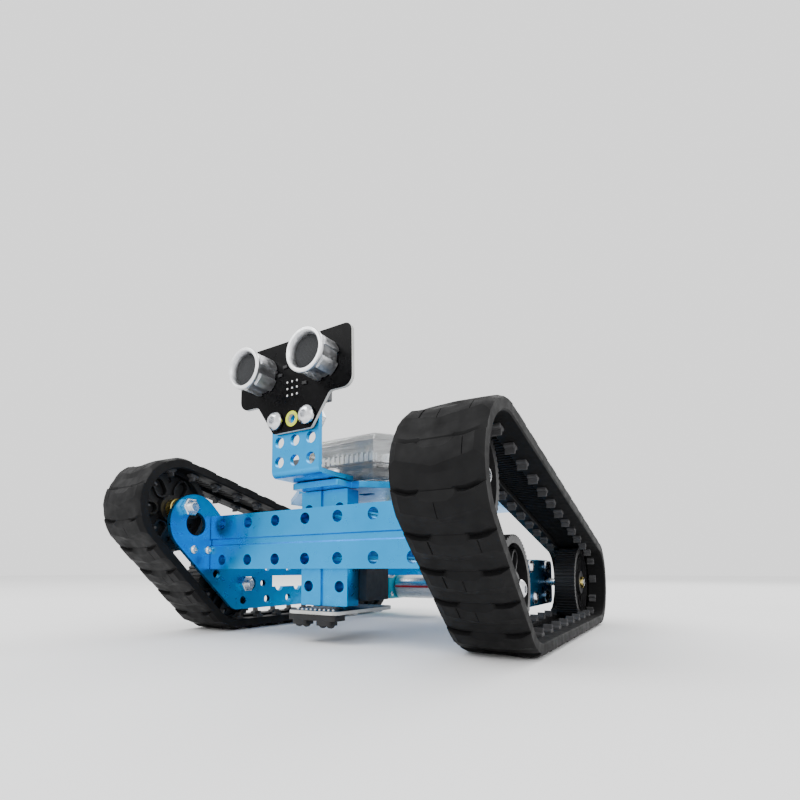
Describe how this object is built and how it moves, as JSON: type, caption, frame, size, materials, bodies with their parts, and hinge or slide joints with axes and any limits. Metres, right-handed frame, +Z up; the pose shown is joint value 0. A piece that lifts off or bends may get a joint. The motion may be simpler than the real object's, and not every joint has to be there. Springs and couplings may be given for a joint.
{
  "type": "tracked robot",
  "caption": "Tracked robot on a blue aluminium beam frame, with rubber tracks round toothed wheels, a distance sensor on a bracket and a clear controller case.",
  "frame": {"origin": "on the floor under the middle of the bounding box", "axes": "+Z up, -Y the front of the robot, where the distance sensor looks, +X its left side"},
  "size_m": [0.172, 0.2001, 0.1194],
  "materials": {
    "blue_aluminium": "sky-blue anodised, satin",
    "track_rubber": "matt black moulded rubber",
    "wheel_plastic": "matt black moulded nylon",
    "steel": "bright zinc plated",
    "brass": "bright yellow brass",
    "teal_plastic": "teal moulded plastic, fine grain",
    "motor_can": "nickel plated can with a red and grey band",
    "transducer_silver": "satin silver shell with a dark mesh",
    "black_plastic": "black moulded plastic",
    "board_black": "black solder mask with a pale edge",
    "board_pale": "pale board edge, black solder mask",
    "socket_plastic": "dark grey moulded plastic",
    "battery_cell": "sleeved cell",
    "clear_plastic": "clear smoked moulding"
  },
  "bodies": {
    "chassis": {"front_beam": "blue_aluminium", "rear_beam": "blue_aluminium", "sensor_post": "blue_aluminium", "top_plate": "blue_aluminium", "sensor_bracket": "blue_aluminium", "side_plate_left": "blue_aluminium", "side_plate_right": "blue_aluminium", "track_left": "track_rubber", "axle_bolt_upper_left": "steel", "axle_sleeve_upper_left": "brass", "axle_bolt_lower_left": "steel", "axle_sleeve_lower_left": "brass", "gearbox_left": "teal_plastic", "motor_left": "motor_can", "transducer_left": "transducer_silver", "board_screw_left": "steel", "line_head_left": "black_plastic", "rear_standoff_left": "brass", "port_bank_left": "socket_plastic", "track_right": "track_rubber", "axle_bolt_upper_right": "steel", "axle_sleeve_upper_right": "brass", "axle_bolt_lower_right": "steel", "axle_sleeve_lower_right": "brass", "gearbox_right": "teal_plastic", "motor_right": "motor_can", "transducer_right": "transducer_silver", "board_screw_right": "steel", "line_head_right": "black_plastic", "rear_standoff_right": "brass", "port_bank_right": "socket_plastic", "sensor_board": "board_black", "circuit_board": "board_black", "line_board": "board_pale", "sensor_socket": "socket_plastic", "battery_tray": "black_plastic", "battery_lid": "black_plastic", "battery_cell_1": "battery_cell", "battery_cell_2": "battery_cell", "case_base": "clear_plastic", "case_cover": "clear_plastic"},
    "wheel_rear_left": {"wheel_rear_left": "wheel_plastic", "drive_shaft_left": "steel"},
    "wheel_upper_left": {"wheel_upper_left": "wheel_plastic"},
    "wheel_lower_left": {"wheel_lower_left": "wheel_plastic"},
    "wheel_rear_right": {"wheel_rear_right": "wheel_plastic", "drive_shaft_right": "steel"},
    "wheel_upper_right": {"wheel_upper_right": "wheel_plastic"},
    "wheel_lower_right": {"wheel_lower_right": "wheel_plastic"},
    "button_left": {"button_left": "black_plastic"},
    "button_right": {"button_right": "black_plastic"},
    "power_switch": {"power_switch": "black_plastic"}
  },
  "joints": [
    {"name": "wheel_rear_left_spin", "type": "hinge", "parent": "chassis", "child": "wheel_rear_left", "pos_m": [0.0715, 0.0775, 0.0226], "axis": [1, 0, 0], "continuous": true},
    {"name": "wheel_upper_left_spin", "type": "hinge", "parent": "chassis", "child": "wheel_upper_left", "pos_m": [0.0715, -0.0775, 0.0566], "axis": [1, 0, 0], "continuous": true},
    {"name": "wheel_lower_left_spin", "type": "hinge", "parent": "chassis", "child": "wheel_lower_left", "pos_m": [0.0715, -0.0435, 0.0226], "axis": [1, 0, 0], "continuous": true},
    {"name": "wheel_rear_right_spin", "type": "hinge", "parent": "chassis", "child": "wheel_rear_right", "pos_m": [-0.0715, 0.0775, 0.0226], "axis": [1, 0, 0], "continuous": true},
    {"name": "wheel_upper_right_spin", "type": "hinge", "parent": "chassis", "child": "wheel_upper_right", "pos_m": [-0.0715, -0.0775, 0.0566], "axis": [1, 0, 0], "continuous": true},
    {"name": "wheel_lower_right_spin", "type": "hinge", "parent": "chassis", "child": "wheel_lower_right", "pos_m": [-0.0715, -0.0435, 0.0226], "axis": [1, 0, 0], "continuous": true},
    {"name": "button_left_press", "type": "slide", "parent": "chassis", "child": "button_left", "axis": [0, 0, -1], "range_m": [0, 0.001], "stiffness_N_per_m": 200, "springref_m": -0.001},
    {"name": "button_right_press", "type": "slide", "parent": "chassis", "child": "button_right", "axis": [0, 0, -1], "range_m": [0, 0.001], "stiffness_N_per_m": 200, "springref_m": -0.001},
    {"name": "power_switch_slide", "type": "slide", "parent": "chassis", "child": "power_switch", "axis": [1, 0, 0], "range_m": [0, 0.006]}
  ],
  "couplings": [
    {"joint": "wheel_upper_left_spin", "follows": "wheel_rear_left_spin", "ratio": 1},
    {"joint": "wheel_lower_left_spin", "follows": "wheel_rear_left_spin", "ratio": 1},
    {"joint": "wheel_upper_right_spin", "follows": "wheel_rear_right_spin", "ratio": 1},
    {"joint": "wheel_lower_right_spin", "follows": "wheel_rear_right_spin", "ratio": 1}
  ]
}
